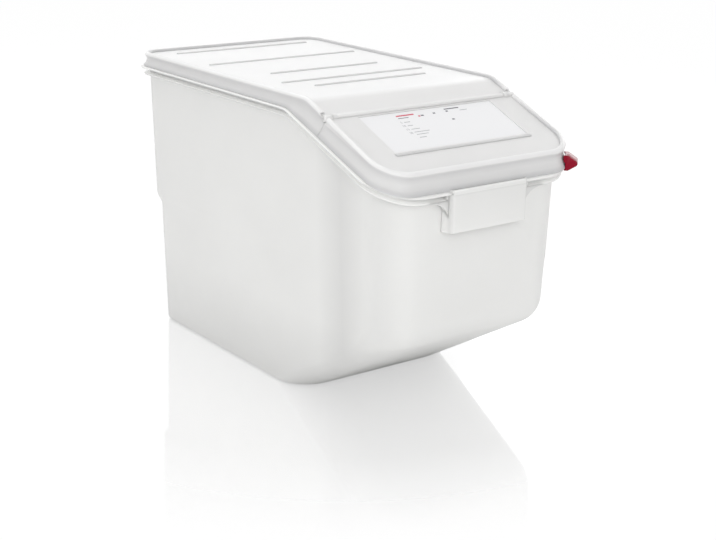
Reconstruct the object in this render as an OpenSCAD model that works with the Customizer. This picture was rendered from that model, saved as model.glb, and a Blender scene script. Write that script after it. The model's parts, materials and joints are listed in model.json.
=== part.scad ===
// Storage bin for rice and other dry goods: a one-piece tub whose lid has a fixed rear half and a
// front half that flips up for scooping.
// Frame: X across, Y from front (negative) to rear, Z up. The origin is the centre of the flat base.

/* [Base] */
// Width of the flat base, across
base_w = 204; // [190:1:225]
// Length of the flat base, front to rear
base_l = 276; // [240:1:320]
// How far the slanted toe runs forward from the base to the front wall
toe_l = 156; // [120:1:180]
// Height of the toe's front edge, where the front wall starts
toe_h = 90; // [70:1:110]
// Radius of the base's front corners, seen from above
base_front_r = 38; // [20:1:60]
// Rounding along the bottom edge of the base
foot_r = 5; // [4:0.5:10]
// Softening along the toe's front edge
toe_soft = 18; // [8:1:30]

/* [Walls] */
// Thickness of the tub's walls
wall = 2.2; // [1.6:0.1:2.8]
// Thickness of the tub's floor
floor_t = 2.8; // [2:0.1:5]
// Lean of the side walls
side_draft = 1.6; // [0.8:0.1:2]
// Lean of the front wall
front_draft = 1.2; // [0.5:0.1:2]
// Lean of the rear wall
rear_draft = 0.3; // [0.1:0.1:1.5]
// Radius of the walls' front corners, seen from above
front_r = 37; // [32:1:44]
// Radius of the walls' rear corners, seen from above
rear_r = 18; // [14:1:30]
// Height of the step in the rear wall
step_z = 140; // [120:1:180]
// Height over which the step runs out
step_rise = 8; // [4:1:14]
// How far the rear wall steps out
step_rear = 9; // [4:0.5:14]
// How far each side wall steps out at the same height
step_side = 0.6; // [0:0.1:1.5]

/* [Rim] */
// Height of the rim's upper face along the flat rear part
rim_z = 293; // [285:1:296]
// Distance from the rear wall to where the rim turns down towards the front
rim_flat_l = 293.5; // [280:0.5:300]
// Angle of the rim's sloping front part
rim_slope = 20; // [17:0.5:22]
// Overhang of the rim's upper lip beyond the wall
lip_out = 9.5; // [8:0.5:10.5]
// Thickness of the upper lip
lip_t = 1.6; // [1.2:0.1:2.5]
// Overhang of the rim's lower ledge beyond the wall
ledge_out = 6.5; // [4:0.5:7]
// Thickness of the lower ledge
ledge_t = 1.6; // [1.2:0.1:2.5]
// Distance from the lip's upper face down to the ledge's lower face
rim_depth = 9; // [7:0.5:12]

/* [Grip] */
// Width of the finger grip under the front rim
grip_w = 90; // [70:1:110]
// Distance from the front wall to the outer face of the grip
grip_out = 10.5; // [9:0.5:16]
// How far the grip hangs down under the ledge
grip_drop = 32; // [20:1:40]
// Thickness of the grip
grip_t = 2; // [1.6:0.1:3]
// How far each cheek of the grip spreads towards the wall
grip_flare = 4; // [2:0.5:8]

/* [Lid] */
// Height of the crest of the lid's bead above the rim's upper face
lid_h = 15; // [13:0.5:20]
// Distance from the rear wall to where the lid turns down towards the front
lid_flat_l = 323.5; // [315:0.5:330]
// Angle of the lid's sloping front part
lid_slope = 22; // [20:0.5:24]
// Overhang of the lid's bead beyond the wall
bead_out = 5; // [4:0.5:6]
// Overhang of the lid's skirt beyond the wall, at its lower edge
skirt_out = 6.8; // [5.6:0.2:7]
// Radius that the lid's front corners are measured from, smaller than the walls' own
lid_front_r = 27; // [22:1:34]
// Wall thickness of the lid
lid_t = 1.8; // [1.4:0.1:2.2]
// Depth of the deck below the crest of the bead
deck_drop = 3; // [2:0.5:3.5]
// Depth of the rib that finds its place inside the tub's wall
plug_depth = 9; // [6:1:14]
// Thickness of that rib
plug_t = 1.5; // [1.2:0.1:2.5]
// Width of the raised ribs on the deck
rib_w = 4; // [3:0.5:6]
// Height of the raised ribs on the deck
rib_h = 1.2; // [0.6:0.1:1.8]

/* [Label] */
// Width of the label's recess
label_w = 160; // [120:1:176]
// Length of the label's recess down the slope
label_l = 61; // [40:1:64]
// Depth of the label's recess
label_recess = 0.8; // [0.6:0.1:1]
// Thickness of the label's film
film_t = 0.4; // [0.3:0.1:0.5]

/* [Hinge] */
// Distance from the turn in the lid forward to the hinge line
hinge_ahead = 31; // [28:0.5:40]
// Depth of the hinge axis under the crest of the bead, square to the slope
hinge_depth = 3.4; // [3.1:0.1:4]
// Radius of the flap's barrel
barrel_r = 3; // [2.6:0.1:3.4]
// Radius of the stub pins at the ends of the barrel
pin_r = 1.6; // [1.2:0.1:1.9]
// Length of the stub pins
pin_l = 5; // [4:0.5:5.5]
// Outer radius of the ears that hold the stub pins
ear_r = 3.6; // [3.2:0.1:3.8]
// Width of each ear
ear_w = 5.5; // [4.5:0.5:7]

/* [Clip] */
// Length of the colour clip along the rim
clip_l = 20; // [12:1:26]
// How far the clip's nose stands out beyond the lip
clip_nose = 12; // [8:1:16]
// Height of the clip above the lip
clip_up = 11; // [9:1:12]
// Height of the clip below the lip
clip_down = 4; // [3:0.5:5]

/* [Fits] */
// Gap between pieces that only rest near each other
gap = 0.3; // [0.2:0.05:0.5]
// Gap between the hinge's turning faces
turn_gap = 0.3; // [0.2:0.05:0.5]

/* [Hidden] */
$fn = 48;

// Points on each rounded corner, softening of the turns in rim and lid, and a length past everything
arc_steps = 8;
turn_soft = 6;
far = 400;

half_base = base_l / 2;
toe_angle = atan(toe_h / toe_l);

// Height of the crest of the lid's bead along the flat rear part
lid_z = rim_z + lid_h;

// The walls' outline at the rim, from which every overhang is measured
rim_half = base_w / 2 + rim_z * tan(side_draft) + step_side;
rear_y = half_base + step_rear + rim_z * tan(rear_draft);
front_y = -half_base - toe_l - 0.7 * (rim_z - toe_h) * tan(front_draft);
rim_turn = rear_y - rim_flat_l;
lid_turn = rear_y - lid_flat_l;

// A corner that is softened over a width of k on each side of d = 0
function soft(d, k) = d < -k ? 0 : d > k ? d : (d + k) * (d + k) / (4 * k);

// Heights of the bead's crest and of the lip's upper face: flat at the rear, sloping at the front
function crest_z(y) = lid_z - tan(lid_slope) * soft(lid_turn - y, turn_soft);
function lip_z(y) = rim_z - tan(rim_slope) * soft(rim_turn - y, turn_soft);
function turn_stations(turn) = [for (k = [-2:2]) turn + k * turn_soft / 2];

// The lid's deck lies under the crest, and the tub's wall ends just under the deck
deck_under = deck_drop + lid_t;
wall_top = deck_under + gap;

hinge_surface_y = lid_turn - hinge_ahead;
hinge_y = hinge_surface_y + hinge_depth * sin(lid_slope);
hinge_z = crest_z(hinge_surface_y) - hinge_depth * cos(lid_slope);

// Height of the deck's upper face over the hinge axis, square to the slope
deck_rise = hinge_depth - deck_drop;

// The locating rib stays inside the wall, which leans in towards the front
plug_out = -wall - 1.9;
ear_end = rim_half + plug_out + 0.2;
barrel_half = ear_end - ear_w - turn_gap;

// The flap's bead starts this far ahead of the axis, and the cover's bead ends this far behind it
flap_start = ear_r + 0.6;
bead_end = 7;
bead_low = 0.9;
cut_w = 24;
seam = 0.2;

// The label's recess starts this far ahead of the hinge axis
label_start = 5;

// How deep a raised rib is rooted in the deck
rib_root = 0.5;

// Places of the deck's ribs: distance from the rear wall and half length
deck_ribs = [[24, 89], [108, 95], [186, 69], [237, 90], [267, 70]];

clip_angle = -45;

// Outline of the walls moved outwards by o, with front corners measured from radius r
module outline(o, r) {
    half = rim_half + o;
    rf = r + o;
    rr = rear_r + o;
    y0 = front_y - o;
    y1 = rear_y + o;
    translate([-half, y0 + rf]) square([2 * half, y1 - rr - y0 - rf]);
    translate([-half + rf, y0]) square([2 * (half - rf), 2 * rf]);
    translate([-half + rr, y1 - 2 * rr]) square([2 * (half - rr), 2 * rr]);
    for (s = [-1, 1]) {
        translate([s * (half - rf), y0 + rf]) circle(rf);
        translate([s * (half - rr), y1 - rr]) circle(rr);
    }
}

// Points of the crest's or the lip's line in side view, moved up by dz, and of a line that lies
// between them at a share of the way down
function crest_line(dz) =
    [for (y = concat([-far], turn_stations(lid_turn), [far])) [y, crest_z(y) + dz]];
function lip_line(dz) =
    [for (y = concat([-far], turn_stations(rim_turn), [far])) [y, lip_z(y) + dz]];
function edge_line(share) = [for (y = concat([-far], side_stations, [far]))
    [y, (1 - share) * crest_z(y) + share * lip_z(y)]];
function backwards(list) = [for (i = [len(list) - 1:-1:0]) list[i]];

// Everything between two such lines
module between(low, high) {
    rotate([90, 0, 90])
        linear_extrude(2 * far, center = true, convexity = 4)
            polygon(concat(low, backwards(high)));
}

// A plate that fills the outline moved by o between two lines
module plate(o, r, low, high) {
    intersection() {
        linear_extrude(far) outline(o, r);
        between(low, high);
    }
}

// A ring between two outlines and between two lines
module ring(inner, outer, low, high) {
    intersection() {
        linear_extrude(far) difference() {
            outline(outer, front_r);
            outline(inner, front_r);
        }
        between(low, high);
    }
}

// A rounded corner as points, from angle a0 through a quarter turn
function corner(cx, cy, r, a0) =
    [for (k = [0:arc_steps]) let (a = a0 + 90 * k / arc_steps) [cx + r * cos(a), cy + r * sin(a)]];
function rounded_loop(half, y0, y1, rf, rr) = concat(
    corner(half - rf, y0 + rf, rf, -90),
    corner(half - rr, y1 - rr, rr, 0),
    corner(-half + rr, y1 - rr, rr, 90),
    corner(-half + rf, y0 + rf, rf, 180));

// Limits of the tub at height z, moved inwards by t
function side_at(z, t) =
    base_w / 2 + z * tan(side_draft) + step_side * step_share(z) - t;
function rear_at(z, t) =
    half_base + z * tan(rear_draft) + step_rear * step_share(z) - t;
function step_share(z) = min(1, max(0, (z - step_z) / step_rise));
function toe_at(z, t) = -half_base - toe_l * (z - t / cos(toe_angle)) / toe_h;
function wall_at(z, t) = -half_base - toe_l - (z - toe_h) * tan(front_draft) + t;
function front_at(z, t) = wall_at(z, t) + soft(toe_at(z, t) - wall_at(z, t), toe_soft);
function front_r_at(z, t) =
    base_front_r + (front_r - base_front_r) * min(1, max(0, z / toe_h)) - t;

// Heights at which the tub's surface bends, above its rounded bottom edge, and where its rim cuts it
body_top = lid_z + 2 * wall;
soft_rise = toe_soft * toe_h / toe_l;
bends = concat(
    [toe_h / 2],
    [for (k = [-2:2]) toe_h + k * soft_rise / 2],
    [step_z, step_z + step_rise, body_top]);

// The tub's outer surface, or its inner one when it is moved inwards by t above a floor
module body(t, floor_z) {
    r = max(foot_r - t, 1);
    edge = [for (k = [0:3]) let (a = 30 * k) [floor_z + r * (1 - cos(a)), r * (1 - sin(a))]];
    rows = concat(edge, [for (z = bends) [z, 0]]);
    n = 4 * (arc_steps + 1);
    m = len(rows);
    points = [for (row = rows)
        let (z = row[0], i = t + row[1])
        for (p = rounded_loop(side_at(z, i), front_at(z, t) + row[1], rear_at(z, i),
                              front_r_at(z, i), rear_r - i))
        [p[0], p[1], z]];
    sides = [for (j = [0:m - 2]) for (i = [0:n - 1])
        let (k = (i + 1) % n) [j * n + i, (j + 1) * n + i, (j + 1) * n + k, j * n + k]];
    polyhedron(points, concat([[for (i = [0:n - 1]) i]], sides,
                              [[for (i = [n - 1:-1:0]) (m - 1) * n + i]]), convexity = 6);
}

// The finger grip: a plate with two cheeks that spread towards the wall
module grip() {
    foot = lip_z(front_y) - rim_depth - grip_drop;
    out = front_y - grip_out;
    half = grip_w / 2;
    slant = grip_t * 0.4;
    outer = [[half + grip_flare, front_y + wall / 2], [half, out], [-half, out],
             [-half - grip_flare, front_y + wall / 2]];
    inner = [[-half - grip_flare + grip_t + slant, front_y + wall / 2],
             [-half + grip_t, out + grip_t], [half - grip_t, out + grip_t],
             [half + grip_flare - grip_t - slant, front_y + wall / 2]];
    intersection() {
        translate([0, 0, foot]) linear_extrude(far) polygon(concat(outer, inner));
        between(lip_line(-far), lip_line(-lip_t));
    }
}

module tub() {
    color("whitesmoke") difference() {
        union() {
            intersection() {
                body(0, 0);
                between([[-far, -1], [far, -1]], crest_line(-wall_top));
            }
            plate(lip_out, front_r, lip_line(-lip_t), lip_line(0));
            plate(ledge_out, front_r, lip_line(-rim_depth), lip_line(-rim_depth + ledge_t));
            grip();
        }
        body(wall, floor_t);
    }
}

// Points round the outline with their outward direction, and with stations at the turns
function corner_way(cx, cy, r, a0) =
    [for (k = [0:arc_steps]) let (a = a0 + 90 * k / arc_steps)
        [cx + r * cos(a), cy + r * sin(a), cos(a), sin(a)]];
side_stations = concat(turn_stations(lid_turn), turn_stations(rim_turn));
way = concat(
    corner_way(rim_half - lid_front_r, front_y + lid_front_r, lid_front_r, -90),
    [for (y = side_stations) [rim_half, y, 1, 0]],
    corner_way(rim_half - rear_r, rear_y - rear_r, rear_r, 0),
    corner_way(-rim_half + rear_r, rear_y - rear_r, rear_r, 90),
    [for (y = backwards(side_stations)) [-rim_half, y, -1, 0]],
    corner_way(-rim_half + lid_front_r, front_y + lid_front_r, lid_front_r, 180));

// Section of the lid's edge: distance out from the wall, share of the way down from the crest to
// the lip, and a height added to that
edge_section = [
    [-1, 0, -deck_drop - 0.3], [-0.4, 0, -0.9], [0.8, 0, 0], [2.8, 0, 0],
    [bead_out - 0.5, 0, -0.8], [bead_out, 0, -2.4], [bead_out - 0.6, 0, -4.2],
    [bead_out - 1.6, 0.45, 0], [bead_out - 1.4, 0.62, 0], [skirt_out - 0.8, 0.86, 0],
    [skirt_out, 1, gap + 1], [skirt_out, 1, gap],
    [skirt_out - lid_t, 1, gap], [skirt_out - lid_t - 0.8, 0.86, 0],
    [bead_out - lid_t - 1.4, 0.62, 0], [bead_out - lid_t - 1.6, 0.45, 0],
    [bead_out - lid_t - 0.6, 0, -4.2], [bead_out - lid_t, 0, -2.8],
    [2.4, 0, -lid_t], [1.4, 0, -lid_t], [0.8, 0, -2.8], [0.8, 0, -deck_under],
    [-1, 0, -deck_under + 0.3]];

// The lid's edge all the way round: bead, hollow under it, and skirt
module lid_edge() {
    n = len(way);
    m = len(edge_section);
    points = [for (w = way) for (s = edge_section)
        let (x = w[0] + s[0] * w[2], y = w[1] + s[0] * w[3])
        [x, y, (1 - s[1]) * crest_z(y) + s[1] * lip_z(y) + s[2]]];
    faces = [for (i = [0:n - 1]) for (j = [0:m - 1])
        let (k = (i + 1) % n, l = (j + 1) % m) [i * m + j, k * m + j, k * m + l, i * m + l]];
    polyhedron(points, faces, convexity = 8);
}

// Edge, deck and locating rib of the whole lid, before it is parted at the hinge
module whole_lid() {
    lid_edge();
    plate(-0.7, lid_front_r, crest_line(-deck_under), crest_line(-deck_drop));
    ring(plug_out - plug_t, plug_out, crest_line(-deck_under - plug_depth),
         crest_line(-deck_under + 0.2));
}

// Places its children at the hinge: local -Y runs down the slope, local Z stands square to it
module at_hinge() {
    translate([0, hinge_y, hinge_z]) rotate([lid_slope, 0, 0]) children();
}
module along_axis(x0, x1, r) {
    translate([x0, 0, 0]) rotate([0, 90, 0]) cylinder(r = r, h = x1 - x0);
}

// A raised rib across the deck, round at both ends
module rib(half) {
    height = rib_h + rib_root;
    for (s = [-1, 1]) translate([s * half, 0, 0]) cylinder(d = rib_w, h = height);
    translate([-half, -rib_w / 2, 0]) cube([2 * half, rib_w, height]);
}

module rear_cover() {
    color("white") difference() {
        union() {
            difference() {
                whole_lid();
                at_hinge() {
                    translate([-far, -2 * far + seam, -far]) cube(2 * far);
                    along_axis(-rim_half, rim_half, barrel_r + turn_gap);
                    for (s = [-1, 1])
                        translate([s * (rim_half + cut_w / 2 - 1.5) - cut_w / 2, -cut_w, bead_low])
                            cube([cut_w, cut_w + bead_end, cut_w]);
                }
            }
            at_hinge() for (s = [-1, 1])
                along_axis(s * (ear_end - ear_w / 2) - ear_w / 2,
                           s * (ear_end - ear_w / 2) + ear_w / 2, ear_r);
            at_hinge() for (s = [-1, 1])
                translate([s * (ear_end - ear_w / 2) - ear_w / 2, 0, deck_rise - lid_t])
                    cube([ear_w, ear_r + 2, lid_t]);
            for (r = deck_ribs)
                translate([0, rear_y - r[0], lid_z - deck_drop - rib_root]) rib(r[1]);
        }
        at_hinge() along_axis(-rim_half, rim_half, pin_r + turn_gap / 2);
    }
}

module flip_lid() {
    color("white") {
        difference() {
            whole_lid();
            at_hinge() {
                translate([-far, -seam, -far]) cube(2 * far);
                for (s = [-1, 1]) translate([s * (rim_half + 2), 0, 0]) {
                    along_axis(-cut_w / 2, cut_w / 2, flap_start);
                    translate([-cut_w / 2, -flap_start - 0.3, -1]) cube(cut_w);
                }
                translate([-label_w / 2, -label_start - label_l, deck_rise - label_recess])
                    cube([label_w, label_l, 2 * lid_t]);
            }
        }
        at_hinge() {
            along_axis(-barrel_half, barrel_half, barrel_r);
            along_axis(-barrel_half - pin_l, barrel_half + pin_l, pin_r);
            translate([0, -label_start - label_l - rib_w, deck_rise - rib_root])
                rib(label_w / 2);
        }
    }
}

// The label's film lies in its recess on the flap
module lid_label() {
    color("ghostwhite") at_hinge()
        translate([-label_w / 2 + gap, -label_start - label_l + gap, deck_rise - label_recess])
            cube([label_w - 2 * gap, label_l - 2 * gap, film_t]);
}

// The clip sits in the hollow of the flap's edge at the right-hand front corner, with a hook
// under the skirt just outside the lip, and its nose points outwards
module colour_clip() {
    lip_r = front_r + lip_out;
    lip_y = front_y + front_r + lip_r * sin(clip_angle);
    z = lip_z(lip_y);
    color("crimson") difference() {
        translate([rim_half - front_r, front_y + front_r, 0]) rotate([0, 0, clip_angle])
            rotate([90, 0, 0]) linear_extrude(clip_l, center = true)
                polygon([[lip_r - 4, z + clip_up], [lip_r + 3, z + clip_up - 0.5],
                         [lip_r + clip_nose, z + 4.5], [lip_r + clip_nose, z + 1.5],
                         [lip_r + 3, z - clip_down], [lip_r - 4, z - clip_down]]);
        plate(lip_out + gap, front_r, lip_line(-far), lip_line(0.05));
        plate(skirt_out + gap, lid_front_r, lip_line(0), edge_line(0.7));
        plate(bead_out + gap, lid_front_r, edge_line(0.8), crest_line(0));
    }
}

tub();
rear_cover();
flip_lid();
lid_label();
colour_clip();
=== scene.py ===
# %% [markdown]
# # A rice bin with a flip lid
# The real object is a tall kitchen bin for rice and other dry goods. Its tub is one moulding of
# milky polypropylene, with a slanted toe under the front wall, a step in the rear wall and a finger
# grip under the front rim. The lid snaps on in two halves: the rear half stays put, and the front
# half flips up about a hinge for scooping. This lesson models each moulding by hand with Blender's
# own operators, around a fixed frame of plain solids that already has every size and place.

# %% Load the frame and read its main measures
import json
import math

import bmesh
import bpy
from mathutils import Matrix, Vector


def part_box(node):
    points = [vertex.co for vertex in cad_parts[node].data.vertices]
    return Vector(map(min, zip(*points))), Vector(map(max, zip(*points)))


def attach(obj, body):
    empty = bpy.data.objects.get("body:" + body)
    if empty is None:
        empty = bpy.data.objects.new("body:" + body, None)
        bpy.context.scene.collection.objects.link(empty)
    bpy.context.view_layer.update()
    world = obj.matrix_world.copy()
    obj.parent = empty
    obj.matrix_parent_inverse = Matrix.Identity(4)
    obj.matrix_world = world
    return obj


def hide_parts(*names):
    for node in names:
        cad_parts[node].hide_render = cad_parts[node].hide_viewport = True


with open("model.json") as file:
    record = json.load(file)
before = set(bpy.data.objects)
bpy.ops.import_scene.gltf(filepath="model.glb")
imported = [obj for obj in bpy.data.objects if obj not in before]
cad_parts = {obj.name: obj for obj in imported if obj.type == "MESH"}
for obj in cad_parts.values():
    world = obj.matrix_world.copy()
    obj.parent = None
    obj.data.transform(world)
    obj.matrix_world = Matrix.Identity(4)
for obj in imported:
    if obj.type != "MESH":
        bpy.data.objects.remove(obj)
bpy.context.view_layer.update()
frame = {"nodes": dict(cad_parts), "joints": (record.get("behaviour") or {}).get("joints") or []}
tub_low, tub_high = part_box("tub")
cover_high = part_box("rear_cover")[1]
hinge = next(j for j in frame["joints"] if j["name"] == "flap_hinge")
hinge_at = Vector(hinge["pos_m"])

# %% [markdown]
# ## Driving sizes
# A moulded bin is drawn from one outline: the walls at the height of the rim. Everything else on
# the rim and the lid is an offset from it, so the outline is worked out first, from the frame, and
# the few other sizes are named here once. Names that end in OUT say how far something stands out
# from the walls.

# %% Name the driving sizes
MM = 0.001
MERGE = 0.01 * MM  # points closer than this are one point
NEAR = 0.1 * MM  # how close counts as being at a place

LIP_OUT = 9.5 * MM
LEDGE_OUT = 6.5 * MM
RIM_DEPTH = 9 * MM
GRIP_OUT = 10.5 * MM
WALL = 2.2 * MM
LID_T = 1.8 * MM
LID_H = 15 * MM
DECK_DROP = 3 * MM

RIM_HALF = tub_high.x - LIP_OUT
REAR_Y = tub_high.y - LIP_OUT
FRONT_Y = tub_low.y + GRIP_OUT
LID_Z = cover_high.z
RIM_Z = LID_Z - LID_H
DECK_Z = LID_Z - DECK_DROP

RIM_FRONT_R = 37 * MM
LID_FRONT_R = 27 * MM
REAR_R = 18 * MM

RIM_TURN = REAR_Y - 293.5 * MM
LID_TURN = REAR_Y - 323.5 * MM
RIM_SLOPE = math.radians(20)
LID_SLOPE = math.radians(22)
TURN_SOFT = 6 * MM
print("walls at the rim", [round(1000 * s, 1) for s in (2 * RIM_HALF, REAR_Y - FRONT_Y)], "mm")

# %% [markdown]
# ## The modeller's hands
# Blender's operators act on what is selected, and the frame's own pieces come in selected. So each
# helper first lets go of everything, then takes hold of one piece, as a modeller does with a click.

# %% Helpers: hold a piece, add a primitive, copy, join
def hold(*pieces):
    for o in bpy.context.selected_objects:
        o.select_set(False)
    for o in pieces:
        o.select_set(True)
    bpy.context.view_layer.objects.active = pieces[0] if pieces else None


def settle(piece):
    """Puts the object at the origin, unturned and unscaled, with its place in its mesh."""
    hold(piece)
    bpy.ops.object.transform_apply(location=True, rotation=True, scale=True)
    return piece


def primitive(name, add, **settings):
    hold()
    add(**settings)
    piece = bpy.context.object
    piece.name = piece.data.name = name
    return settle(piece)


def join(name, *pieces):
    hold(*pieces)
    bpy.ops.object.join()
    pieces[0].name = pieces[0].data.name = name
    return pieces[0]


def copy_of(piece, name):
    twin = piece.copy()
    twin.data = piece.data.copy()
    twin.name = twin.data.name = name
    bpy.context.scene.collection.objects.link(twin)
    return twin


def remove(piece):
    bpy.data.objects.remove(piece)


# %% [markdown]
# In edit mode an operator acts on the selected points, edges or faces. With no window there is
# nothing to click on, so they are selected in code, by where they are or which way they face.

# %% Helpers: select, move, cut and round in edit mode
def edit(piece):
    hold(piece)
    bpy.ops.object.mode_set(mode="EDIT")
    bpy.ops.mesh.select_mode(type="VERT")
    bpy.ops.mesh.select_all(action="DESELECT")


def leave():
    bpy.ops.object.mode_set(mode="OBJECT")


def pick_all():
    bpy.ops.mesh.select_all(action="SELECT")


def pick(test, kind="VERT"):
    """Selects the points, edges or faces for which test is true."""
    bpy.ops.mesh.select_mode(type=kind)
    bpy.ops.mesh.select_all(action="DESELECT")
    mesh = bmesh.from_edit_mesh(bpy.context.object.data)
    parts = {"VERT": mesh.verts, "EDGE": mesh.edges, "FACE": mesh.faces}[kind]
    for part in parts:
        part.select = bool(test(part))
    mesh.select_flush_mode()
    bmesh.update_edit_mesh(bpy.context.object.data)


def move(*step):
    bpy.ops.transform.translate(value=step)


def pull(*step):
    bpy.ops.mesh.extrude_region_move(TRANSFORM_OT_translate={"value": step})


def size_to(size, centre=(0, 0, 0)):
    """Scales the whole piece about a centre."""
    pick_all()
    bpy.ops.transform.resize(value=size, center_override=centre)


def cut(at, facing, **settings):
    """Cuts the whole piece by a plane."""
    pick_all()
    bpy.ops.mesh.bisect(plane_co=at, plane_no=facing, **settings)


def bevel(kind, width, steps, **settings):
    """Rounds the selected corners (VERTICES) or folds (EDGES)."""
    bpy.ops.mesh.bevel(affect=kind, offset=width, segments=steps, profile=0.5, **settings)


print("points are picked within", round(1000 * NEAR, 2), "mm")

# %% [markdown]
# Modifiers finish what edit mode began, and are applied at once. Doubled points are merged and the
# faces turned outwards before a wall gets its thickness. Done after it, that would turn the inner
# side of a closed shell round.

# %% Helpers: finish a piece
def close_up(piece):
    """Merges doubled points and turns every face outwards."""
    edit(piece)
    pick_all()
    bpy.ops.mesh.remove_doubles(threshold=MERGE)
    bpy.ops.mesh.normals_make_consistent(inside=False)
    leave()
    return piece


def modify(piece, kind, **settings):
    hold(piece)
    modifier = piece.modifiers.new(kind.title(), kind)
    for key, value in settings.items():
        setattr(modifier, key, value)
    bpy.ops.object.modifier_apply(modifier=modifier.name)
    return piece


def ease(piece, width, steps=2, degrees=50):
    """Rounds every edge of a piece that turns by more than an angle."""
    return modify(
        piece,
        "BEVEL",
        width=width,
        segments=steps,
        limit_method="ANGLE",
        angle_limit=math.radians(degrees),
    )


def smooth(piece, degrees=35):
    hold(piece)
    bpy.ops.object.shade_smooth_by_angle(angle=math.radians(degrees))
    return piece


print("points merge within", round(1000 * MERGE, 3), "mm")

# %% [markdown]
# ## The camera
# The camera comes early, because every later choice is checked through it. Its place and lens were
# found by fitting the straight edges of the bin, so a render can be laid over the photograph.

# %% Place the camera
CAMERA_AT = (-0.8409, -1.2452, 0.5474)
CAMERA_PITCH = math.radians(17.39)
CAMERA_HEADING = math.radians(36.46)
CAMERA_ROLL = math.radians(0.85)
CAMERA_LENS = 71.05
CAMERA_SHIFT = (-0.0022, -0.0023)
SENSOR = 36

camera = bpy.data.objects.new("camera", bpy.data.cameras.new("camera"))
bpy.context.scene.collection.objects.link(camera)
camera.data.sensor_width = SENSOR
camera.data.lens = CAMERA_LENS
camera.data.shift_x, camera.data.shift_y = CAMERA_SHIFT
camera.matrix_world = (
    Matrix.Translation(CAMERA_AT)
    @ Matrix.Rotation(-CAMERA_HEADING, 4, "Z")
    @ Matrix.Rotation(math.pi / 2 - CAMERA_PITCH, 4, "X")
    @ Matrix.Rotation(CAMERA_ROLL, 4, "Z")
)
bpy.context.scene.camera = camera
print("camera", round(math.degrees(CAMERA_PITCH), 1), "degrees down")

# %% [markdown]
# ## The cage that bends the rim and the lid
# The front of the rim and of the lid slopes down. Everything there is easier to draw flat, as a
# mould maker draws it, and to bend afterwards. A lattice cage does the bending: its slices ahead of
# the turn sink, more the further forward they are. The crest of the lid and the lip of the rim turn
# at different places, so the cage has levels, and each level mixes the two lines.

# %% Define the cage
CAGE_FRONT = FRONT_Y - 20 * MM
CAGE_REAR = RIM_TURN + 15 * MM
CAGE_SLICES = 64
SLICE_GAP = (CAGE_REAR - CAGE_FRONT) / (CAGE_SLICES - 1)


def drop(y, turn, slope):
    """How far a straight slope with a soft turn has sunk at y."""
    d = turn - y
    if d <= -TURN_SOFT:
        return 0
    if d < TURN_SOFT:
        d = (d + TURN_SOFT) ** 2 / (4 * TURN_SOFT)
    return d * math.tan(slope)


def bend(piece, rim_shares):
    """Bends a piece with a cage whose levels, from rim to crest, follow the rim by these shares."""
    hold()
    bpy.ops.object.add(type="LATTICE")
    cage = bpy.context.object
    cage.data.points_u = 1
    cage.data.points_v = CAGE_SLICES
    cage.data.points_w = len(rim_shares)
    for axis in "uvw":
        setattr(cage.data, "interpolation_type_" + axis, "KEY_LINEAR")
    length = CAGE_REAR - CAGE_FRONT
    middle = (CAGE_FRONT + CAGE_REAR) / 2
    cage.location = (0, middle, (RIM_Z + LID_Z) / 2)
    cage.scale = (1, length, LID_H)
    for i, point in enumerate(cage.data.points):
        y = middle + point.co.y * length
        share = rim_shares[i // CAGE_SLICES]
        sunk = share * drop(y, RIM_TURN, RIM_SLOPE) + (1 - share) * drop(y, LID_TURN, LID_SLOPE)
        point.co_deform = point.co - Vector((0, 0, sunk / LID_H))
    modify(piece, "LATTICE", object=cage)
    remove(cage)
    return piece


# Where a piece needs cuts across it, so that it can bend: five through each soft turn.
turn_ys = [turn + k * TURN_SOFT / 2 for turn in (LID_TURN, RIM_TURN) for k in (-2, -1, 0, 1, 2)]
print("cage slices every", round(1000 * SLICE_GAP, 2), "mm")

# %% [markdown]
# ## Painted light and shade on the plastic
# Milky plastic looks paler where it is thin and lit from both sides, and greyer where it is thick
# or has a dark hollow behind it. Here that light and shade is painted: each point carries a number
# for it, 1 for the greyest painted shade, 0 for the plain wall and -1 for the palest painted light.
# It paints shade into coves, folds and hollows, and light onto crests and lit faces. The finish
# reads it as a colour later. Extruding a point copies its painted light and shade along with it.

# %% Define the painted light and shade on the points
def nearest(co, points):
    return min(points, key=lambda p: (Vector(p) - co).length)


def paint_shading(piece, shading_at):
    """Gives every point of a piece its painted light and shade, in edit mode or out of it."""
    editing = piece.mode == "EDIT"
    if not editing:
        edit(piece)
    mesh = bmesh.from_edit_mesh(piece.data)
    painted_shading = mesh.verts.layers.float.get("painted_shading") or mesh.verts.layers.float.new("painted_shading")
    for v in mesh.verts:
        v[painted_shading] = shading_at(v.co)
    bmesh.update_edit_mesh(piece.data)
    if not editing:
        leave()
    return piece


print("tones from -1, pale, to 1, grey")

# %% [markdown]
# ## Sweeping a section round the outline
# A rim is one section carried all the way round the bin. The section is drawn by extruding a single
# point from place to place. Then it is pulled along each straight side and spun round each corner,
# which is how a plasterer runs a moulding. The pulls along the sides stop where the cage will bend.

# %% Define drawing and sweeping
CORNER_STEPS = 12


def draw(name, points):
    """A closed line through points, drawn by extruding one point. The piece stays in edit mode."""
    piece = primitive(name, bpy.ops.mesh.primitive_plane_add, size=MM, location=points[0])
    edit(piece)
    pick_all()
    bpy.ops.mesh.merge(type="CENTER")
    for a, b in zip(points, points[1:] + points[:1]):
        pull(*(Vector(b) - Vector(a)))
    pick_all()
    bpy.ops.mesh.remove_doubles(threshold=MERGE)
    return piece


def turn_corner(x, y):
    """A quarter turn to the left about a corner's centre. Spin counts that way as negative."""
    bpy.ops.mesh.spin(steps=CORNER_STEPS, angle=-math.pi / 2, center=(x, y, 0), axis=(0, 0, 1))


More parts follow.
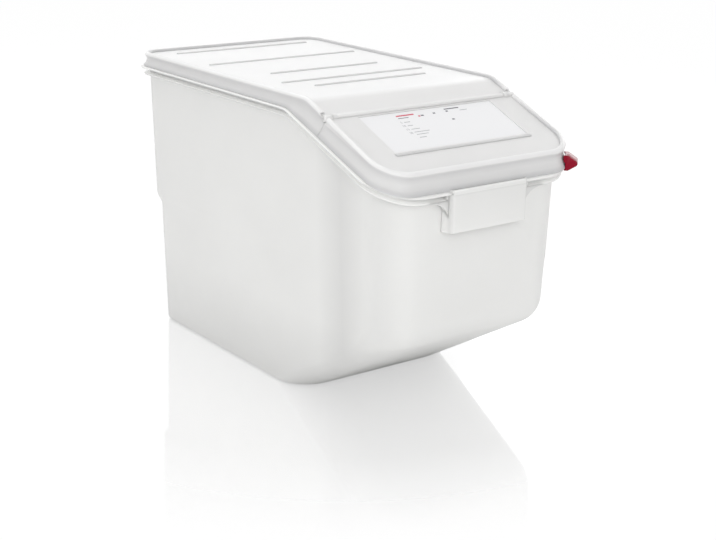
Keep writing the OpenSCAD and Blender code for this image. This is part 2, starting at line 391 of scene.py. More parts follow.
def sweep(name, section, front_r):
    """Carries a section of (distance out from the walls, height, painted light and shade) round the
    whole outline.
    """
    points = [(0, FRONT_Y - out, z) for out, z, _ in section]
    piece = draw(name, points)
    paint_shading(piece, lambda co: section[points.index(nearest(co, points))][2])
    front_x, rear_x = RIM_HALF - front_r, RIM_HALF - REAR_R
    front_y, rear_y = FRONT_Y + front_r, REAR_Y - REAR_R
    stops = [front_y] + turn_ys + [rear_y]
    pick_all()
    pull(front_x, 0, 0)
    turn_corner(front_x, front_y)
    for a, b in zip(stops, stops[1:]):
        pull(0, b - a, 0)
    turn_corner(rear_x, rear_y)
    pull(-2 * rear_x, 0, 0)
    turn_corner(-rear_x, rear_y)
    for a, b in zip(stops[::-1], stops[-2::-1]):
        pull(0, b - a, 0)
    turn_corner(-front_x, front_y)
    pull(front_x, 0, 0)
    leave()
    return close_up(piece)


print("a corner turns in", CORNER_STEPS, "steps")

# %% [markdown]
# ## The tub's walls
# The tub is a deep shell. It could be lofted from sections, but a modeller gets there faster from
# its footprint, which is a flat face with rounded corners, larger ones at the front.

# %% Draw the footprint
BASE_HALF_W = 102 * MM
BASE_HALF_L = 138 * MM
BASE_FRONT_R = 38 * MM

walls = primitive("tub_walls", bpy.ops.mesh.primitive_plane_add, size=2)
edit(walls)
size_to((BASE_HALF_W, BASE_HALF_L, 1))
for is_corner, radius in (
    (lambda v: v.co.y < 0, BASE_FRONT_R),
    (lambda v: v.co.y > BASE_HALF_L - MM, REAR_R),
):
    pick(is_corner)
    bevel("VERTICES", radius, CORNER_STEPS)
leave()
print("footprint", [round(1000 * s) for s in walls.dimensions], "mm")

# %% [markdown]
# The face is pulled up in a few stages. After each, the halves of its edge are pulled apart by what
# the walls lean out. The toe is the stage where the front half runs far forward.

# %% Raise the walls
TOE_L = 156 * MM
TOE_H = 90 * MM
STEP_Z = 140 * MM
STEP_RISE = 8 * MM
STEP_REAR = 9 * MM
STEP_SIDE = 0.6 * MM
SIDE_LEAN = math.tan(math.radians(1.6))
FRONT_LEAN = math.tan(math.radians(1.2))
REAR_LEAN = math.tan(math.radians(0.3))


def raise_walls(z, rise, front, side, rear):
    """Pulls the top edge up by rise, then its halves apart: forward, sideways and to the rear."""
    pick(lambda f: f.calc_center_median().z > z - MM and abs(f.normal.z) > 0.9, "FACE")
    pull(0, 0, rise)
    top = z + rise - MM
    pick(lambda v: v.co.z > top and v.co.y < 0)
    move(0, -front, 0)
    pick(lambda v: v.co.z > top and v.co.y > 0)
    move(0, rear, 0)
    for s in (-1, 1):
        pick(lambda v: v.co.z > top and s * v.co.x > 0)
        move(s * side, 0, 0)


# Each stage: its rise, how far a toe runs forward, and how far a step goes sideways and back.
stages = [
    (TOE_H, TOE_L, 0, 0),
    (STEP_Z - TOE_H, None, 0, 0),
    (STEP_RISE, None, STEP_SIDE, STEP_REAR),
    (LID_Z + WALL - STEP_Z - STEP_RISE, None, 0, 0),
]
edit(walls)
level = 0
for rise, toe, step_side, step_rear in stages:
    front = rise * FRONT_LEAN if toe is None else toe
    raise_walls(level, rise, front, rise * SIDE_LEAN + step_side, rise * REAR_LEAN + step_rear)
    level += rise
leave()
print("walls raised to", round(1000 * level), "mm")

# %% [markdown]
# The folds are softened with bevels: a small one round the foot, a wide one along the toe, and two
# narrow ones at the step. Each goes all round the tub. Where the wall doesn't fold it changes
# nothing, and no bevel has to end in the middle of a face. Then two cuts trim the top edge, and a
# Solidify modifier gives the wall its thickness.

# %% Soften the folds, trim the top and thicken the wall
WALL_TOP = 5.1 * MM
STEP_SOFT = 2.5 * MM
TOE_SOFT = 14 * MM
FOOT_SOFT = 5 * MM


def level_edges(z):
    return lambda e: all(abs(v.co.z - z) < NEAR for v in e.verts)


edit(walls)
for z, width, steps in (
    (STEP_Z + STEP_RISE, STEP_SOFT, 3),
    (STEP_Z, STEP_SOFT, 3),
    (TOE_H, TOE_SOFT, 6),
    (0, FOOT_SOFT, 5),
):
    pick(level_edges(z), "EDGE")
    bevel("EDGES", width, steps)
pick(lambda f: f.normal.z > 0.9, "FACE")
bpy.ops.mesh.delete(type="FACE")
up_from_slope = (0, -math.sin(LID_SLOPE), math.cos(LID_SLOPE))
for cut_y, normal in ((0, (0, 0, 1)), (LID_TURN, up_from_slope)):
    cut((0, cut_y, LID_Z - WALL_TOP), normal, clear_outer=True)
leave()
close_up(walls)
modify(walls, "SOLIDIFY", thickness=WALL, offset=-1, use_even_offset=True)
smooth(walls)
print("walls", len(walls.data.polygons), "faces, height", round(1000 * walls.dimensions.z, 1), "mm")

# %% [markdown]
# ## The tub's rim
# Two thin flanges run round the walls: the lip that the lid snaps over, and a narrower ledge under
# it that stiffens the rim. They are one section, drawn from the lip's root to the ledge's root,
# with small slanted corners that catch light as moulded edges do. Each point of a section says how
# far out it is, how high, and how much light or shade is painted on it: painted light on the
# lip's top and on the wall between the flanges, painted shade on the flanges' outer edges and
# under the ledge.

# %% Model the rim
FLANGE_T = 1.6 * MM
ROOT = -2 * MM
LEDGE_TOP = RIM_Z - RIM_DEPTH + FLANGE_T
NIP = 0.5 * MM
# The third number of each point is painted light (below 0) or painted shade (above 0).
rim_section = [
    (ROOT, RIM_Z, -1),
    (LIP_OUT - NIP, RIM_Z, -0.4),
    (LIP_OUT, RIM_Z - NIP, 0.3),
    (LIP_OUT, RIM_Z - FLANGE_T + 0.4 * MM, 0.45),
    (LIP_OUT - 0.4 * MM, RIM_Z - FLANGE_T, 0),
    (0.8 * MM, RIM_Z - FLANGE_T, -1),
    (0, RIM_Z - FLANGE_T - MM, -1),
    (0, LEDGE_TOP + MM, -1),
    (0.8 * MM, LEDGE_TOP, -1),
    (LEDGE_OUT - NIP, LEDGE_TOP, -0.5),
    (LEDGE_OUT, LEDGE_TOP - NIP, 0.3),
    (LEDGE_OUT, RIM_Z - RIM_DEPTH + NIP, 0.6),
    (LEDGE_OUT - NIP, RIM_Z - RIM_DEPTH, 0.8),
    (ROOT, RIM_Z - RIM_DEPTH, 0.5),
]
rim = sweep("tub_rim", rim_section, RIM_FRONT_R)
bend(rim, [1])
smooth(rim, 50)
print("rim", len(rim.data.polygons), "faces")

# %% [markdown]
# ## The finger grip
# Under the front rim hangs a plate that four fingers reach behind. It is drawn in plan as one bent
# line from wall to wall, pulled up to the lip, rounded at its two upright folds and thickened.
# Three cuts across it let a band of painted shade run just under the lip, where the plate is
# thicker, with painted light above it.

# %% Model the grip
GRIP_HALF = 45 * MM
GRIP_FLARE = 4 * MM
GRIP_DROP = 32 * MM
GRIP_T = 2 * MM
FOLD_R = 3 * MM
BAND = 4 * MM

grip_top = RIM_Z - drop(FRONT_Y, RIM_TURN, RIM_SLOPE) - FLANGE_T / 2
grip_foot = grip_top + FLANGE_T / 2 - RIM_DEPTH - GRIP_DROP
grip_y = FRONT_Y - GRIP_OUT
band_z = grip_top - BAND
wall_y = FRONT_Y + WALL / 2
plan = [
    (-GRIP_HALF - GRIP_FLARE, wall_y, grip_foot),
    (-GRIP_HALF, grip_y, grip_foot),
    (GRIP_HALF, grip_y, grip_foot),
    (GRIP_HALF + GRIP_FLARE, wall_y, grip_foot),
]


def is_front_fold(edge):
    a, b = (v.co for v in edge.verts)
    return abs(a.z - b.z) > MM and a.y < FRONT_Y - MM


grip = draw("tub_grip", plan)
pick(lambda e: all(v.co.y > FRONT_Y for v in e.verts), "EDGE")
bpy.ops.mesh.delete(type="EDGE")
pick_all()
pull(0, 0, grip_top - grip_foot)
pick(is_front_fold, "EDGE")
bevel("EDGES", FOLD_R, 5)
for z in (band_z, band_z - 0.6 * MM, band_z - 2.5 * MM):
    cut((0, 0, z), (0, 0, 1))
leave()


# Painted shade at the front folds and in the band under the lip, painted light on the cheeks and
# just under the lip, and a little painted shade over the rest of the face.
def grip_painted_shading(co):
    if abs(abs(co.x) - GRIP_HALF) < 2 * MM and co.y < grip_y + FOLD_R:
        return 0.35
    if abs(co.x) > GRIP_HALF + MM:
        return -0.8
    if co.z > band_z - NEAR:
        return -0.2
    return 0.35 if co.z > band_z - MM else 0.15


paint_shading(grip, grip_painted_shading)
close_up(grip)
modify(grip, "SOLIDIFY", thickness=GRIP_T, offset=-1, use_even_offset=True)
smooth(ease(grip, 0.4 * MM))
print("grip", [round(1000 * s, 1) for s in grip.dimensions], "mm")

# %% [markdown]
# ## The webs beside the grip
# A curved web fills the corner between the ledge and each cheek of the grip, so that the plate
# doesn't tear off. Its outline is drawn flat on the ledge's front, filled, and pulled to the wall.

# %% Model the webs
WEB_W = 22 * MM
WEB_H = 15 * MM
WEB_NECK = 2.5 * MM
WEB_STEPS = 8
# The webs are painted greyer all over, a painted shade under the ledge.
WEB_PAINTED_SHADE = 0.6
CHEEK_X = 46.6 * MM

web_top = RIM_Z - RIM_DEPTH - drop(FRONT_Y - LEDGE_OUT, RIM_TURN, RIM_SLOPE)
lip_under = web_top + RIM_DEPTH - FLANGE_T
web_y = FRONT_Y - LEDGE_OUT + 0.1 * MM
quarter = [math.radians(90 + 90 * i / WEB_STEPS) for i in range(WEB_STEPS + 1)]


def web(s):
    """The web on the right (s = 1) or on the left (s = -1)."""
    inner, neck = s * (CHEEK_X - MM), s * (CHEEK_X + WEB_NECK)
    centre_x, centre_z = s * (CHEEK_X + WEB_W), web_top - WEB_H
    outline = [(inner, lip_under), (neck, lip_under)]
    outline += [(neck, web_top + MM), (centre_x, web_top + MM)]
    for t in quarter:
        outline.append((centre_x + s * WEB_W * math.cos(t), centre_z + WEB_H * math.sin(t)))
    outline.append((inner, centre_z))
    piece = draw("tub_web", [(x, web_y, z) for x, z in outline])
    bpy.ops.mesh.edge_face_add()
    pull(0, LEDGE_OUT + MM, 0)
    leave()
    return smooth(paint_shading(close_up(piece), lambda co: WEB_PAINTED_SHADE))


webs = [web(s) for s in (-1, 1)]
print("webs", round(1000 * WEB_W), "by", round(1000 * WEB_H), "mm")

# %% [markdown]
# ## The lid's edge
# Seen in section, the lid's edge rises from the deck into a round bead, tucks in under it, and
# flares out again into the skirt that snaps over the lip. It is swept flat like the rim and bent by
# the cage. The levels near the crest follow the crest alone, so the bead keeps its shape. The
# points go over the bead, down the outside to the skirt's foot, and back up the inside.

# %% Model the whole lid's edge
BEAD_OUT = 5 * MM
SKIRT_OUT = 6.8 * MM
GAP = 0.3 * MM
LID_SHARES = [1, 0.75, 0.5, 0, 0]

# The third number of each point is painted light and shade: painted shade on the bead's inner side,
# in the cove under the bead and at the skirt's foot, painted light on the crest.
edge_section = [
    (-1 * MM, DECK_Z - 0.3 * MM, 0.9),
    (-0.7 * MM, DECK_Z + 0.6 * MM, 0.9),
    (-0.2 * MM, LID_Z - 0.9 * MM, 0.9),
    (0.7 * MM, LID_Z - 0.2 * MM, 0.7),
    (1.8 * MM, LID_Z, -0.2),
    (3.2 * MM, LID_Z - 0.1 * MM, -0.5),
    (BEAD_OUT - 0.7 * MM, LID_Z - 0.8 * MM, -0.4),
    (BEAD_OUT, LID_Z - 2.2 * MM, 0),
    (BEAD_OUT - 0.1 * MM, LID_Z - 3.4 * MM, 0.6),
    (BEAD_OUT - 0.9 * MM, LID_Z - 4.6 * MM, 0.7),
    (BEAD_OUT - 1.6 * MM, LID_Z - 6.2 * MM, 0.45),
    (BEAD_OUT - 1.7 * MM, LID_Z - 8 * MM, 0.25),
    (BEAD_OUT - 1.2 * MM, LID_Z - 9.8 * MM, 0.25),
    (BEAD_OUT - 0.2 * MM, LID_Z - 11.4 * MM, 0.3),
    (SKIRT_OUT - 0.7 * MM, RIM_Z + 2.1 * MM, 0.75),
    (SKIRT_OUT, RIM_Z + GAP + 1 * MM, 1),
    (SKIRT_OUT, RIM_Z + GAP, 1),
    (SKIRT_OUT - LID_T, RIM_Z + GAP, 1),
    (SKIRT_OUT - LID_T - 0.8 * MM, RIM_Z + 2.1 * MM, 0.5),
    (BEAD_OUT - LID_T - 1.4 * MM, LID_Z - 9.8 * MM, 0),
    (BEAD_OUT - LID_T - 1.6 * MM, LID_Z - 6.8 * MM, 0),
    (BEAD_OUT - LID_T - 0.6 * MM, LID_Z - 4.2 * MM, 0),
    (BEAD_OUT - LID_T, LID_Z - 2.8 * MM, 0),
    (2.4 * MM, LID_Z - LID_T, 0),
    (1.4 * MM, LID_Z - LID_T, 0),
    (0.8 * MM, LID_Z - 2.8 * MM, 0),
    (0.8 * MM, DECK_Z - LID_T, 0),
    (-1 * MM, DECK_Z - LID_T + 0.3 * MM, 0),
]
whole_edge = sweep("lid_edge", edge_section, LID_FRONT_R)
bend(whole_edge, LID_SHARES)
print("lid edge", len(whole_edge.data.polygons), "faces")

# %% [markdown]
# ## The deck and the locating rib
# The deck is a flat sheet inside the bead. Its four corners are rounded, and it is cut across where
# the cage will bend it. Under it runs a thin rib that finds its place inside the tub's wall, swept
# round like the rim.

# %% Model the deck and the locating rib
PLUG_OUT = -4.1 * MM
PLUG_T = 1.5 * MM
PLUG_DEPTH = 9 * MM
DECK_EDGE = -0.7 * MM

half, front_y, rear_y = RIM_HALF + DECK_EDGE, FRONT_Y - DECK_EDGE, REAR_Y + DECK_EDGE
middle = (0, (front_y + rear_y) / 2, DECK_Z)
deck = primitive("lid_deck", bpy.ops.mesh.primitive_plane_add, size=1, location=middle)
edit(deck)
size_to((2 * half, rear_y - front_y, 1), middle)
for end_y, radius in ((front_y, LID_FRONT_R + DECK_EDGE), (rear_y, REAR_R + DECK_EDGE)):
    pick(lambda v: abs(v.co.y - end_y) < NEAR)
    bevel("VERTICES", radius, CORNER_STEPS)
for y in turn_ys:
    cut((0, y, 0), (0, 1, 0))
leave()


def deck_painted_light(co):
    """Painted light where the deck is level, none on the slope, and fading through the turn."""
    return -min(max(0.5 + (co.y - LID_TURN) / (2 * TURN_SOFT), 0), 1)


bend(paint_shading(deck, deck_painted_light), [0])

PLUG_TOP = DECK_Z - LID_T + 0.2 * MM
PLUG_FOOT = DECK_Z - LID_T - PLUG_DEPTH
plug_section = [
    (PLUG_OUT - PLUG_T, PLUG_TOP, 0),
    (PLUG_OUT, PLUG_TOP, 0),
    (PLUG_OUT, PLUG_FOOT + 0.6 * MM, 0),
    (PLUG_OUT - 0.5 * MM, PLUG_FOOT, 0),
    (PLUG_OUT - PLUG_T, PLUG_FOOT, 0),
]
plug = bend(sweep("lid_plug", plug_section, RIM_FRONT_R), [0])
print("deck", [round(1000 * s) for s in deck.dimensions], "mm")

# %% [markdown]
# ## Parting the lid at the hinge
# One whole lid becomes two mouldings. Both copies are cut by a plane that stands square to the
# slope on the hinge line, with a narrow seam between them. Drawing in the hinge's own tilted space
# makes every piece there simple, so a matrix takes such a piece to its place.

# %% Part the edge, the deck and the rib
SEAM = 0.2 * MM
at_hinge = Matrix.Translation(hinge_at) @ Matrix.Rotation(LID_SLOPE, 4, "X")
up_slope = at_hinge.to_3x3() @ Vector((0, 1, 0))


def part(piece, name, side):
    """A copy of piece that keeps what lies behind the hinge (side 1) or ahead of it (side -1)."""
    half_lid = copy_of(piece, name)
    edit(half_lid)
    cut(
        hinge_at + side * SEAM * up_slope,
        up_slope,
        use_fill=piece is not deck,
        clear_inner=side > 0,
        clear_outer=side < 0,
    )
    leave()
    return half_lid


def part_both(piece, name):
    return part(piece, "cover_" + name, 1), part(piece, "flap_" + name, -1)


cover_edge, flap_edge = part_both(whole_edge, "edge")
cover_deck, flap_deck = part_both(deck, "deck")
cover_plug, flap_plug = part_both(plug, "plug")
for piece in (whole_edge, deck, plug):
    remove(piece)
print("parted at y", round(1000 * hinge_at.y, 1), "mm")

# %% [markdown]
# ## Room for the hinge
# Each half gives way where the hinge turns. Simple cutters and the Boolean modifier do this, as a
# mould's inserts would. Both they and the hinge are blocks and rods in the hinge's own space.

# %% Helpers: blocks, rods and carving at the hinge
def place(piece):
    piece.matrix_world = at_hinge
    return settle(piece)


def block(name, low, high):
    """A box in the hinge's own space, then taken to its place."""
    low, high = Vector(low), Vector(high)
    centre = (low + high) / 2
    piece = primitive(name, bpy.ops.mesh.primitive_cube_add, size=1, location=centre)
    edit(piece)
    size_to(high - low, centre)
    leave()
    return place(piece)


def rod(name, x0, x1, radius, sides=40):
    """A rod along the hinge's axis from x0 to x1."""
    return primitive(
        name,
        bpy.ops.mesh.primitive_cylinder_add,
        vertices=sides,
        radius=radius,
        depth=x1 - x0,
        location=((x0 + x1) / 2, 0, 0),
        rotation=(0, math.pi / 2, 0),
    )


def carve(piece, cutter):
    modify(piece, "BOOLEAN", operation="DIFFERENCE", object=cutter, solver="EXACT")
    remove(cutter)


print("hinge at", [round(1000 * c, 1) for c in hinge_at], "mm")

# %% [markdown]
# The cover's bead stops short behind the hinge line, and the flap's edge is hollowed round the ear,
# with room for it to turn.

# %% Cut the edges back round the ears
EAR_R = 3.6 * MM
FLAP_START = EAR_R + 0.6 * MM
BEAD_END = 7 * MM
BEAD_LOW = 0.9 * MM
CUT_W = 24 * MM
COVER_CUT_IN = 1.5 * MM
FLAP_CUT_OUT = 2 * MM

for s in (-1, 1):
    x = s * (RIM_HALF + CUT_W / 2 - COVER_CUT_IN)
    x0, x1 = x - CUT_W / 2, x + CUT_W / 2
    carve(cover_edge, block("cutter", (x0, -CUT_W, BEAD_LOW), (x1, BEAD_END, CUT_W)))
    x = s * (RIM_HALF + FLAP_CUT_OUT)
    x0, x1 = x - CUT_W / 2, x + CUT_W / 2
    carve(flap_edge, place(rod("cutter", x0, x1, FLAP_START)))
    carve(flap_edge, block("cutter", (x0, -FLAP_START - GAP, -MM), (x1, CUT_W, CUT_W)))
smooth(cover_edge, 40)
smooth(flap_edge, 40)
print("edges", len(cover_edge.data.polygons), len(flap_edge.data.polygons), "faces")

# %% [markdown]
# ## The deck's ribs
# Raised ribs stiffen the cover's deck. Each starts as a flat strip whose corners are rounded until
# its ends are half circles, pulled up and softened along its top. One more rib closes the flap's
# pocket at the front.

# %% Model the ribs
RIB_W = 4 * MM
RIB_H = 1.2 * MM
RIB_ROOT = 0.5 * MM
RIB_SOFT = 1.1 * MM
# Each rib is painted greyer all over, a painted shade standing for its shaded side.
RIB_PAINTED_SHADE = 0.5
RIB_SHIFT = 3 * MM
# How far each rib is from the rear wall, and half its length, both in millimetres.
COVER_RIBS = ((24, 84), (108, 92), (186, 66), (237, 86), (267, 67))
LABEL_W = 160 * MM
LABEL_L = 61 * MM
LABEL_START = 5 * MM
LABEL_DEPTH = 0.8 * MM
DECK_RISE = 0.4 * MM


def rib(name, half, y, z, x=0):
    strip = primitive(name, bpy.ops.mesh.primitive_plane_add, size=1, location=(x, y, z))
    top = z + RIB_H + RIB_ROOT
    edit(strip)
    size_to((2 * half + RIB_W, RIB_W, 1), (x, y, z))
    bevel("VERTICES", 0.49 * RIB_W, 8)
    pick(lambda f: True, "FACE")
    pull(0, 0, top - z)
    pick(level_edges(top), "EDGE")
    bevel("EDGES", RIB_SOFT, 3)
    leave()
    paint_shading(strip, lambda co: RIB_PAINTED_SHADE)
    return smooth(close_up(strip))


cover_ribs = [
    rib(f"cover_rib_{i}", half * MM, REAR_Y - back * MM, DECK_Z - RIB_ROOT, RIB_SHIFT)
    for i, (back, half) in enumerate(COVER_RIBS)
]
front_rib_y = -LABEL_START - LABEL_L - RIB_W
flap_rib = place(rib("flap_rib", LABEL_W / 2, front_rib_y, DECK_RISE - RIB_ROOT))
print(len(cover_ribs) + 1, "ribs")

# %% [markdown]
# ## The label's pocket
# The label lies in a shallow pocket, so that a cloth wiped over the lid doesn't catch its edges.
# Four cuts draw the pocket's outline on the flap's deck, and the face inside them is pressed down.
# Only then do the decks get their thickness, so the pocket's floor is as thick as the rest.

# %% Press the pocket into the flap's deck
to_hinge = at_hinge.inverted()
pocket = {"x": (-LABEL_W / 2, LABEL_W / 2), "y": (-LABEL_START - LABEL_L, -LABEL_START)}
edit(flap_deck)
for axis, direction in (("x", Vector((1, 0, 0))), ("y", up_slope)):
    for value in pocket[axis]:
        cut(hinge_at + value * direction, direction)


def in_pocket(f):
    x, y, _ = to_hinge @ f.calc_center_median()
    return pocket["x"][0] < x < pocket["x"][1] and pocket["y"][0] < y < pocket["y"][1]


pick(in_pocket, "FACE")
pull(*(at_hinge.to_3x3() @ Vector((0, 0, -LABEL_DEPTH))))
leave()
for sheet in (cover_deck, flap_deck):
    modify(sheet, "SOLIDIFY", thickness=LID_T, offset=-1)
    close_up(sheet)
    smooth(sheet)
print("flap deck", len(flap_deck.data.polygons), "faces")

# %% [markdown]
# ## The hinge
# The flap carries a barrel that ends in two stub pins, which turn in the cover's ears. The pins are
# made by setting the barrel's end faces in and pulling them out, so that barrel and pins are one
# moulding, with no loose metal.

# %% Model the barrel with its pins
BARREL_R = 3 * MM
PIN_R = 1.6 * MM
PIN_L = 5 * MM
EAR_W = 5.5 * MM
EAR_END = RIM_HALF + PLUG_OUT + 0.2 * MM
BARREL_HALF = EAR_END - EAR_W - GAP
EDGE_SOFT = 0.3 * MM

barrel = rod("flap_barrel", -BARREL_HALF, BARREL_HALF, BARREL_R)
for s in (-1, 1):
    edit(barrel)
    pick(lambda f: s * f.normal.x > 0.9, "FACE")
    bpy.ops.mesh.inset(thickness=BARREL_R - PIN_R, depth=0)
    pull(s * PIN_L, 0, 0)
    leave()
smooth(place(ease(barrel, EDGE_SOFT)))
print("barrel", round(1000 * barrel.dimensions.x, 1), "mm long")

# %% [markdown]
# An ear is a ring round the pin with a short foot to the cover's deck. The two are joined first and
# bored afterwards, so that the foot can't fill the bore. Then the deck gives way to the barrel.

# %% Model the ears
def ear(side, s):
    """A ring round the right pin (s = 1) or the left one (s = -1), on a foot from the deck."""
    x0, x1 = sorted((s * (EAR_END - EAR_W), s * EAR_END))
    ring = rod("cover_ear_" + side, x0, x1, EAR_R)
    foot = primitive("ear_foot", bpy.ops.mesh.primitive_cube_add, size=1)
    edit(foot)
    size_to((EAR_W, EAR_R + 2 * MM, LID_T))
    move((x0 + x1) / 2, EAR_R / 2 + MM, DECK_RISE - LID_T / 2)
    leave()
    modify(ring, "BOOLEAN", operation="UNION", object=foot, solver="EXACT")
    remove(foot)
    carve(ring, rod("cutter", x0 - MM, x1 + MM, PIN_R + GAP / 2, 32))
    return smooth(place(ease(ring, EDGE_SOFT)))


sides = (("left", -1), ("right", 1))
ears = [ear(*side) for side in sides]
carve(cover_deck, place(rod("cutter", -RIM_HALF, RIM_HALF, BARREL_R + GAP)))
smooth(cover_deck)
print(len(ears), "ears")

# %% [markdown]
# Outside each ear a round knuckle fills the gap between the two beads, and a small bridge closes
# the hollow where the cover's bead was cut away.

# %% Model the knuckles and bridges outside the ears
KNUCKLE_R = 3.3 * MM
KNUCKLE_END = RIM_HALF + BEAD_OUT - 0.6 * MM
BRIDGE_X = (RIM_HALF - 0.2 * MM, RIM_HALF + BEAD_OUT - 1.2 * MM)
BRIDGE_Z = (0.1 * MM, BEAD_LOW + 0.2 * MM)

for side, s in sides:
    x0, x1 = sorted((s * (EAR_END - MM), s * KNUCKLE_END))
    knuckle = rod("cover_knuckle_" + side, x0, x1, KNUCKLE_R)
    x0, x1 = sorted(s * x for x in BRIDGE_X)
    low, high = (x0, 0, BRIDGE_Z[0]), (x1, BEAD_END + 0.5 * MM, BRIDGE_Z[1])
    ears += [smooth(place(ease(knuckle, MM, 3))), block("cover_bridge_" + side, low, high)]
print(len(ears), "ears, knuckles and bridges")

# %% [markdown]
# ## The label
# A printed film lies in the pocket. It is a thin card with rounded corners, a hair smaller than the
# pocket all round.

# %% Model the film
FILM_T = 0.4 * MM
INK_T = 0.05 * MM
film_z = DECK_RISE - LABEL_DEPTH + FILM_T


def card(name, x, y, w, l, z, t, radius):
    """A thin flat card with rounded corners, its middle at x, y and its underside at z."""
    piece = primitive(name, bpy.ops.mesh.primitive_plane_add, size=1, location=(x, y, z))
    edit(piece)
    size_to((w, l, 1), (x, y, z))
    bevel("VERTICES", radius, 4)
    pick(lambda f: True, "FACE")
    pull(0, 0, t)
    leave()
    return close_up(piece)


film_y, film_w, film_l = -LABEL_START - LABEL_L / 2, LABEL_W - 2 * GAP, LABEL_L - 2 * GAP
film = place(card("label_film", 0, film_y, film_w, film_l, film_z - FILM_T, FILM_T, 1.5 * MM))
print("film", [round(1000 * s) for s in film.dimensions], "mm")

# %% [markdown]
# The print is only generic: a red bar, a row of dark marks, ruled lines and plain numbers. The
# marks are thin pieces of their own on the film, so they keep sharp edges at any distance. Marks
# of one ink are joined into one piece.

# %% Print the marks
def mark(x, y, w, l):
    """A printed mark, placed in millimetres from the film's rear left corner."""
    left, top = -LABEL_W / 2, -LABEL_START
    return card("mark", left + x * MM, top - y * MM, w * MM, l * MM, film_z, INK_T, 0.2 * MM)


def print_of(name, marks):
    """One piece of print from rows of (x, y, width, length)."""
    return place(join(name, *[mark(*row) for row in marks]))


red_print = print_of("label_red_print", [(50.5, 6, 21, 2), (65, 10, 2.5, 2)])
dark_rows = [(69, 9.5, 3.5, 1.8), (84, 8.5, 3, 1.8), (100, 8, 3, 1.8), (98, 22, 3, 1.8)]
dark_print = print_of("label_dark_print", dark_rows + [(108, 4.5, 18, 1.5), (46, 10, 12, 1)])
ruled = ((17, 7), (23, 6), (29, 10), (34, 18), (38, 14), (43, 8))
grey_rows = [(42 + w / 2, y, w, 0.8) for y, w in ruled]
grey_print = print_of("label_grey_print", grey_rows + [(120, 9, 9, 0.8)])
print("print", [len(p.data.polygons) for p in (red_print, dark_print, grey_print)], "faces")

# %% [markdown]
# The numbers are text objects, like the scale on a measuring jug. They become meshes before they
# take their place.

# %% Print the numbers
def number(text, x, y, height):
    """A small number, its lower right corner x, y millimetres from the film's rear left corner."""
    hold()
    bpy.ops.object.text_add()
    piece = bpy.context.object
    piece.data.body = text
    piece.data.size = height * MM
    piece.data.align_x = "RIGHT"
    piece.data.extrude = INK_T / 2
    hold(piece)
    bpy.ops.object.convert(target="MESH")
    piece.location = (-LABEL_W / 2 + x * MM, -LABEL_START - y * MM, film_z + INK_T / 2)
    return settle(piece)


numbers = [number(str(5 * (i + 1)), 40, 18 + 6 * i, 4) for i in range(4)]
number_print = place(join("label_numbers", *numbers))
print(len(numbers), "numbers")

# %% [markdown]
# ## The colour clip
# A small glossy clip marks what the bin holds. Its hollow follows the lid's corner exactly, so the
# frame's own solid is copied, its doubled points are merged, and its nose and edges are rounded.

# %% Model the clip
NOSE_REACH = 0.2 * MM
NOSE_SOFT = 1.4 * MM
FLAT = math.radians(3)

clip = copy_of(frame["nodes"]["colour_clip"], "corner_clip")
clip.parent = None
for key in list(clip.keys()):
    del clip[key]
settle(clip)
close_up(clip)
outward = Vector((1, -1, 0)).normalized()
clip_reach = max(v.co @ outward for v in clip.data.vertices)
edit(clip)
pick_all()
bpy.ops.mesh.dissolve_limited(angle_limit=FLAT)
pick(lambda e: all(v.co @ outward > clip_reach - NOSE_REACH for v in e.verts), "EDGE")
bevel("EDGES", NOSE_SOFT, 4, clamp_overlap=True)
leave()
smooth(ease(clip, 0.4 * MM, degrees=40), 40)
print("clip", [round(1000 * s, 1) for s in clip.dimensions], "mm")

# %% [markdown]
# ## Joining and riding
# Each moulding becomes one piece, rides on its body of the frame, and stands for its plain solid.
# The print has no solid of its own and simply rides on the flap.

# %% Join the mouldings and hand them to the frame
cover = join("cover_moulding", cover_edge, cover_deck, cover_plug, *cover_ribs, *ears)
flap = join("flap_moulding", flap_edge, flap_deck, flap_plug, flap_rib, barrel)
tub = join("tub_moulding", walls, rim, grip, *webs)
for piece, body, node, slot in (
    (tub, "tub", "tub", "tub"),
    (cover, "rear_cover", "rear_cover", "lid"),
    (flap, "flip_lid", "flip_lid", "lid"),
    (film, "flip_lid", "lid_label", "label"),
    (clip, "colour_clip", "colour_clip", "clip"),
):
    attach(piece, body)
    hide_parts(node)
for piece in (red_print, dark_print, grey_print, number_print):
    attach(piece, "flip_lid")
for piece in (tub, cover, flap):
    print(piece.name, len(piece.data.polygons), "faces")

# %% [markdown]
# ## Finishes
# Milky polypropylene lets light creep in and scatter, so its shadows are soft and pale, and its
# gloss is broken by the fine grain of the mould. Painted pictures could show that, but they would
# need unwrapping. Nodes that read each piece's own coordinates need none, and stay sharp close up.
# The same few kinds of node come back in every finish, so helpers make them.

# %% Helpers: nodes for the finishes
def node(tree, kind, **settings):
    made = tree.nodes.new("ShaderNode" + kind)
    for key, value in settings.items():
        setattr(made, key, value)
    return made


def feed(tree, value, socket):
    """Links another node's output to a socket, or sets the socket to a number or a colour."""
    if isinstance(value, bpy.types.NodeSocket):
        tree.links.new(value, socket)
    else:
        socket.default_value = value


def fed(tree, kind, values, **settings):
    """The outputs of a node whose first inputs take these values."""
    made = node(tree, kind, **settings)
    for socket, value in zip(made.inputs, values):
        feed(tree, value, socket)
    return made.outputs


def calculate(tree, operation, *values):
    return fed(tree, "Math", values, operation=operation)["Value"]


def remap(tree, value, low, high, to_low, to_high):
    """Takes low..high to to_low..to_high, and holds the value at both ends."""
    return fed(tree, "MapRange", (value, low, high, to_low, to_high))["Result"]


